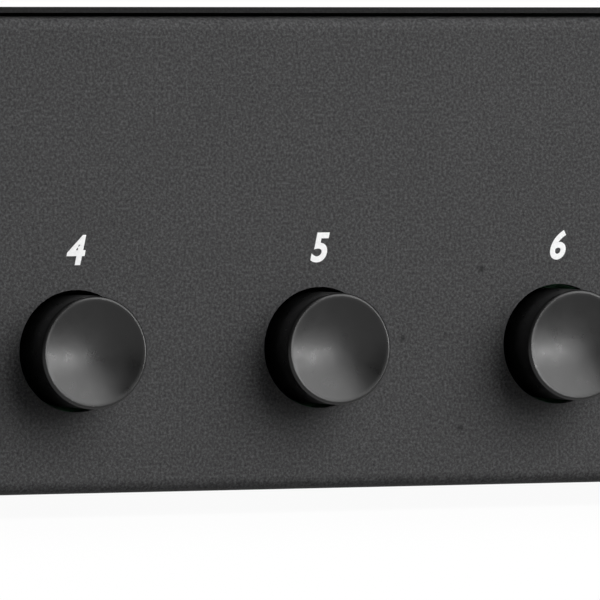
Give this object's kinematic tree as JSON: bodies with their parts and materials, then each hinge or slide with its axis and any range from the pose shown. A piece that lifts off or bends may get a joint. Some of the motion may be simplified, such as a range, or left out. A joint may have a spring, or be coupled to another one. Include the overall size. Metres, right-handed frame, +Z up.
{
  "type": "speaker selector switch",
  "caption": "Low sheet-metal box that shares an amplifier among pairs of speakers: round latching push buttons in front, pull-off screw terminals behind.",
  "frame": {"origin": "on the surface it stands on, under the middle of the whole object", "axes": "+X along the front panel to the right as the user faces it, +Y from the front panel to the rear, +Z up"},
  "size_m": [0.2694, 0.1342, 0.0525],
  "materials": {
    "textured_paint": "fine-textured satin dark grey paint",
    "screw_black": "black oxide, satin",
    "foot_rubber": "matt",
    "board_laminate": "solder-masked glass fibre",
    "plated_steel": "nickel or tin plated",
    "cap_plastic": "satin black moulded plastic",
    "plunger_plastic": "natural acetal",
    "housing_plastic": "matt moulded",
    "spring_steel": "bright spring wire",
    "terminal_plastic": "green moulded polyamide",
    "resistor_ceramic": "white cement-filled ceramic"
  },
  "bodies": {
    "enclosure": {"chassis": "textured_paint", "cover": "textured_paint", "cover_screws": "screw_black", "rubber_feet": "foot_rubber", "main_board": "board_laminate", "board_standoffs": "plated_steel", "board_screws": "plated_steel", "latch_pins": "plated_steel", "switch_pins": "plated_steel", "header_pins": "plated_steel", "switch_housing_1": "housing_plastic", "return_spring_1": "spring_steel", "switch_housing_2": "housing_plastic", "return_spring_2": "spring_steel", "switch_housing_3": "housing_plastic", "return_spring_3": "spring_steel", "switch_housing_4": "housing_plastic", "return_spring_4": "spring_steel", "switch_housing_5": "housing_plastic", "return_spring_5": "spring_steel", "switch_housing_6": "housing_plastic", "return_spring_6": "spring_steel", "input_header": "terminal_plastic", "zone_1_header": "terminal_plastic", "zone_2_header": "terminal_plastic", "zone_3_header": "terminal_plastic", "zone_4_header": "terminal_plastic", "zone_5_header": "terminal_plastic", "zone_6_header": "terminal_plastic", "protection_switch_body": "housing_plastic", "protection_resistors": "resistor_ceramic"},
    "button_1": {"button_cap_1": "cap_plastic", "switch_plunger_1": "plunger_plastic"},
    "button_2": {"button_cap_2": "cap_plastic", "switch_plunger_2": "plunger_plastic"},
    "button_3": {"button_cap_3": "cap_plastic", "switch_plunger_3": "plunger_plastic"},
    "button_4": {"button_cap_4": "cap_plastic", "switch_plunger_4": "plunger_plastic"},
    "button_5": {"button_cap_5": "cap_plastic", "switch_plunger_5": "plunger_plastic"},
    "button_6": {"button_cap_6": "cap_plastic", "switch_plunger_6": "plunger_plastic"},
    "input_connector": {"input_plug": "terminal_plastic", "input_plug_screws": "plated_steel"},
    "zone_1_connector": {"zone_1_plug": "terminal_plastic", "zone_1_plug_screws": "plated_steel"},
    "zone_2_connector": {"zone_2_plug": "terminal_plastic", "zone_2_plug_screws": "plated_steel"},
    "zone_3_connector": {"zone_3_plug": "terminal_plastic", "zone_3_plug_screws": "plated_steel"},
    "zone_4_connector": {"zone_4_plug": "terminal_plastic", "zone_4_plug_screws": "plated_steel"},
    "zone_5_connector": {"zone_5_plug": "terminal_plastic", "zone_5_plug_screws": "plated_steel"},
    "zone_6_connector": {"zone_6_plug": "terminal_plastic", "zone_6_plug_screws": "plated_steel"},
    "protection_knob": {"protection_slider": "housing_plastic"}
  },
  "joints": [
    {"name": "button_1_press", "type": "slide", "parent": "enclosure", "child": "button_1", "axis": [0, 1, 0], "range_m": [0, 0.003], "stiffness_N_per_m": 600, "springref_m": -0.002, "deforming": ["return_spring_1"]},
    {"name": "button_2_press", "type": "slide", "parent": "enclosure", "child": "button_2", "axis": [0, 1, 0], "range_m": [0, 0.003], "stiffness_N_per_m": 600, "springref_m": -0.002, "deforming": ["return_spring_2"]},
    {"name": "button_3_press", "type": "slide", "parent": "enclosure", "child": "button_3", "axis": [0, 1, 0], "range_m": [0, 0.003], "stiffness_N_per_m": 600, "springref_m": -0.002, "deforming": ["return_spring_3"]},
    {"name": "button_4_press", "type": "slide", "parent": "enclosure", "child": "button_4", "axis": [0, 1, 0], "range_m": [0, 0.003], "stiffness_N_per_m": 600, "springref_m": -0.002, "deforming": ["return_spring_4"]},
    {"name": "button_5_press", "type": "slide", "parent": "enclosure", "child": "button_5", "axis": [0, 1, 0], "range_m": [0, 0.003], "stiffness_N_per_m": 600, "springref_m": -0.002, "deforming": ["return_spring_5"]},
    {"name": "button_6_press", "type": "slide", "parent": "enclosure", "child": "button_6", "axis": [0, 1, 0], "range_m": [0, 0.003], "stiffness_N_per_m": 600, "springref_m": -0.002, "deforming": ["return_spring_6"]},
    {"name": "input_plug_pull", "type": "slide", "parent": "enclosure", "child": "input_connector", "axis": [0, 1, 0], "range_m": [0, 0.012]},
    {"name": "zone_1_plug_pull", "type": "slide", "parent": "enclosure", "child": "zone_1_connector", "axis": [0, 1, 0], "range_m": [0, 0.012]},
    {"name": "zone_2_plug_pull", "type": "slide", "parent": "enclosure", "child": "zone_2_connector", "axis": [0, 1, 0], "range_m": [0, 0.012]},
    {"name": "zone_3_plug_pull", "type": "slide", "parent": "enclosure", "child": "zone_3_connector", "axis": [0, 1, 0], "range_m": [0, 0.012]},
    {"name": "zone_4_plug_pull", "type": "slide", "parent": "enclosure", "child": "zone_4_connector", "axis": [0, 1, 0], "range_m": [0, 0.012]},
    {"name": "zone_5_plug_pull", "type": "slide", "parent": "enclosure", "child": "zone_5_connector", "axis": [0, 1, 0], "range_m": [0, 0.012]},
    {"name": "zone_6_plug_pull", "type": "slide", "parent": "enclosure", "child": "zone_6_connector", "axis": [0, 1, 0], "range_m": [0, 0.012]},
    {"name": "protection_slide", "type": "slide", "parent": "enclosure", "child": "protection_knob", "axis": [1, 0, 0], "range_m": [0, 0.004]}
  ]
}
